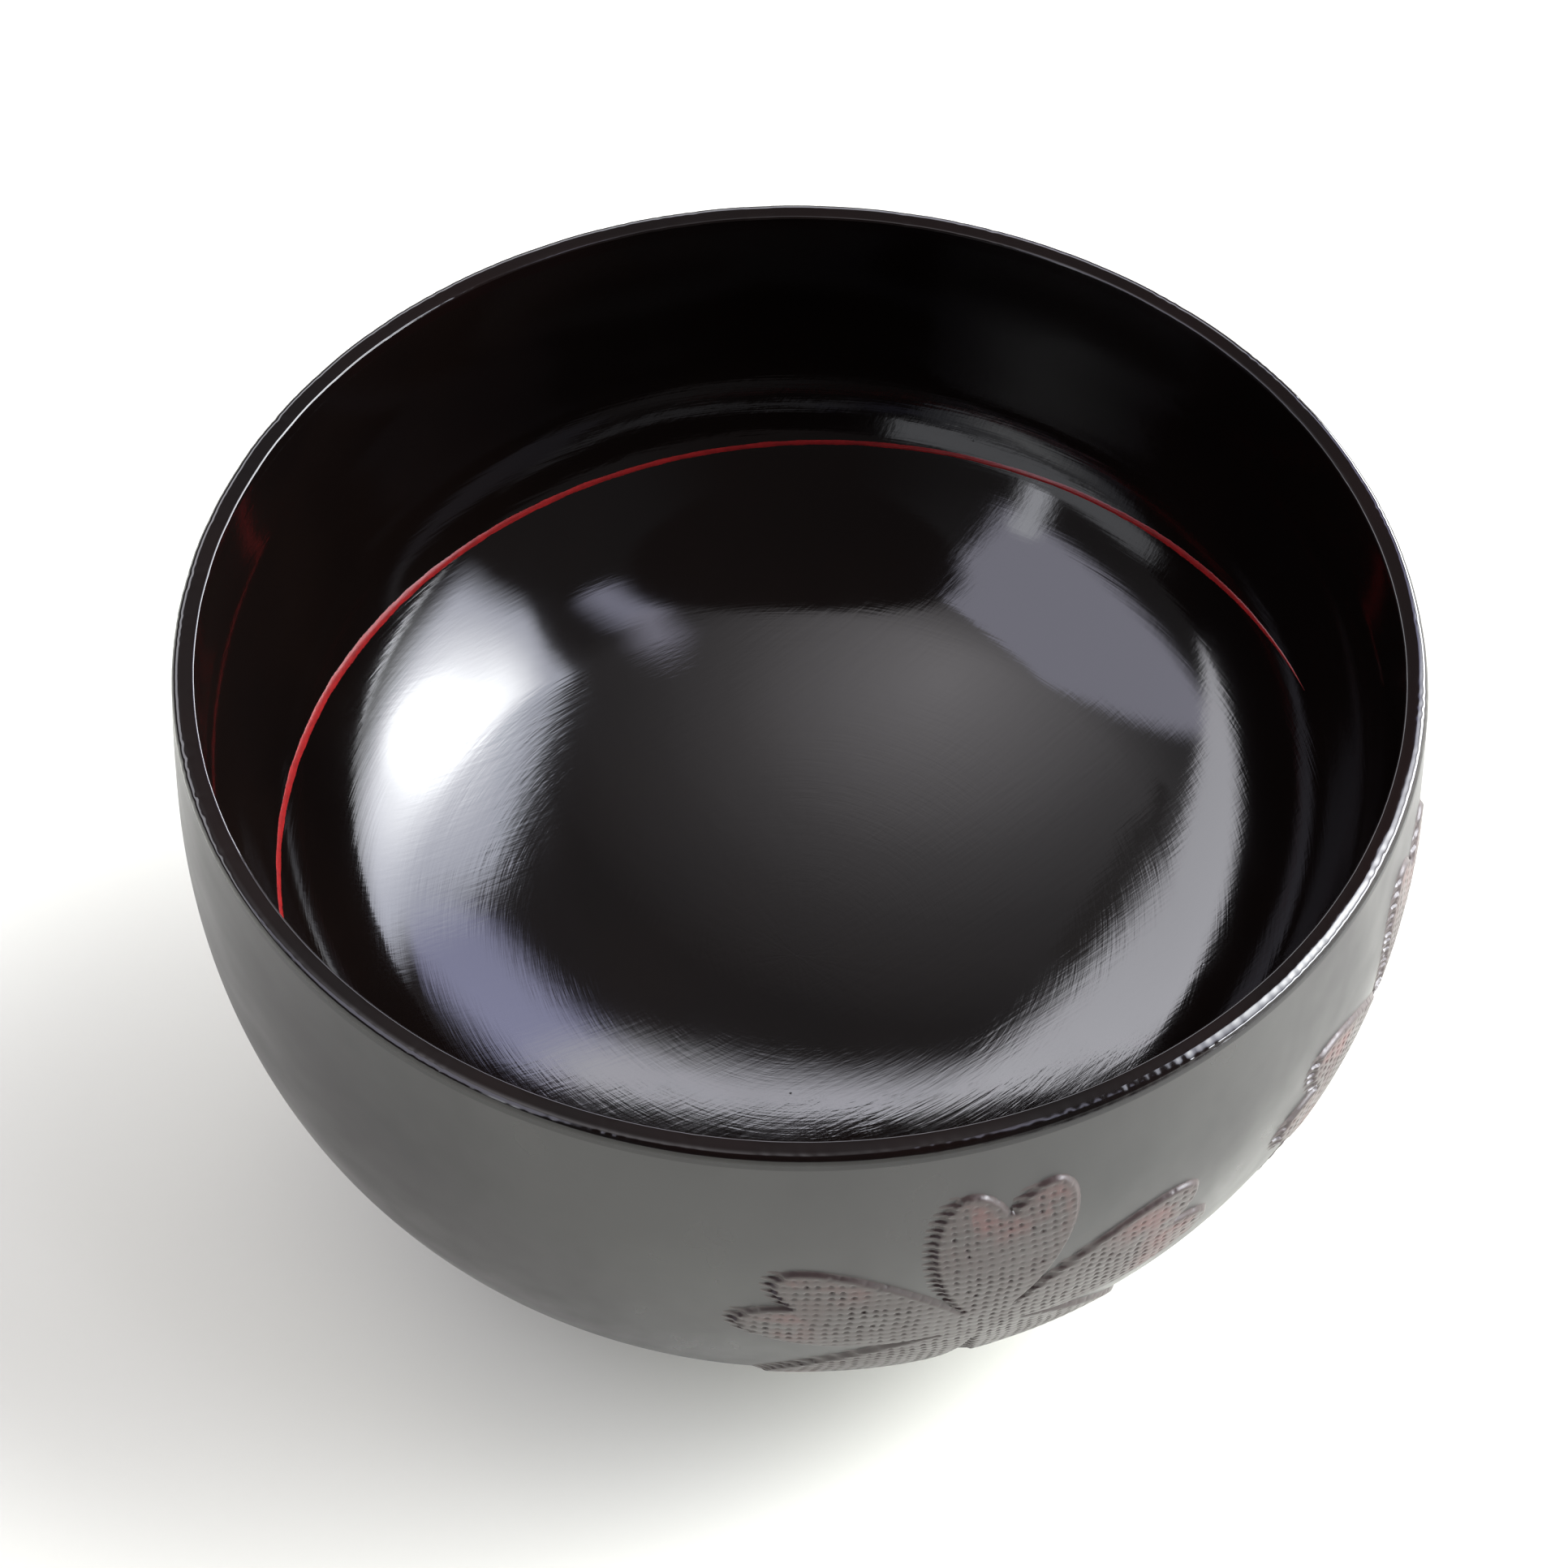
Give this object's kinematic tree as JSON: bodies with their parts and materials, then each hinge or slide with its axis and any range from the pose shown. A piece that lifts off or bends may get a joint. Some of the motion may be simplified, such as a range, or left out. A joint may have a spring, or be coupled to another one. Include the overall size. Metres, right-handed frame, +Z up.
{
  "type": "lacquered soup bowl",
  "caption": "Round-bellied black lacquered wooden soup bowl on a foot ring, with cloth blossoms under the lacquer and a thin red line inside.",
  "frame": {"origin": "centre of the foot's resting ring, on the surface the bowl stands on", "axes": "+Z up along the axis the bowl was turned on; +Y away from the side with the front blossom"},
  "size_m": [0.1202, 0.1203, 0.066],
  "materials": {
    "turned_wood": "turned, sealed, hidden under the lacquer",
    "hemp_cloth": "plain weave, soaked with glue, hidden under the lacquer",
    "black_lacquer": "brushed gloss lacquer with fine brush marks",
    "satin_lacquer": "satin black lacquer",
    "rim_lacquer": "gloss lacquer, worn through to dark red along the edge",
    "cinnabar_lacquer": "thin brushed red lacquer",
    "lacquered_cloth": "coarse plain weave under satin lacquer, rubbed to reddish brown on the high spots"
  },
  "bodies": {
    "root": {"wood_core": "turned_wood", "rim_cloth": "hemp_cloth", "well_cloth": "hemp_cloth", "foot_cloth": "hemp_cloth", "inner_lacquer": "black_lacquer", "outer_lacquer": "satin_lacquer", "rim_lacquer": "rim_lacquer", "foot_lacquer": "satin_lacquer", "red_line": "cinnabar_lacquer", "blossom_front": "lacquered_cloth", "blossom_side": "lacquered_cloth"}
  },
  "joints": []
}
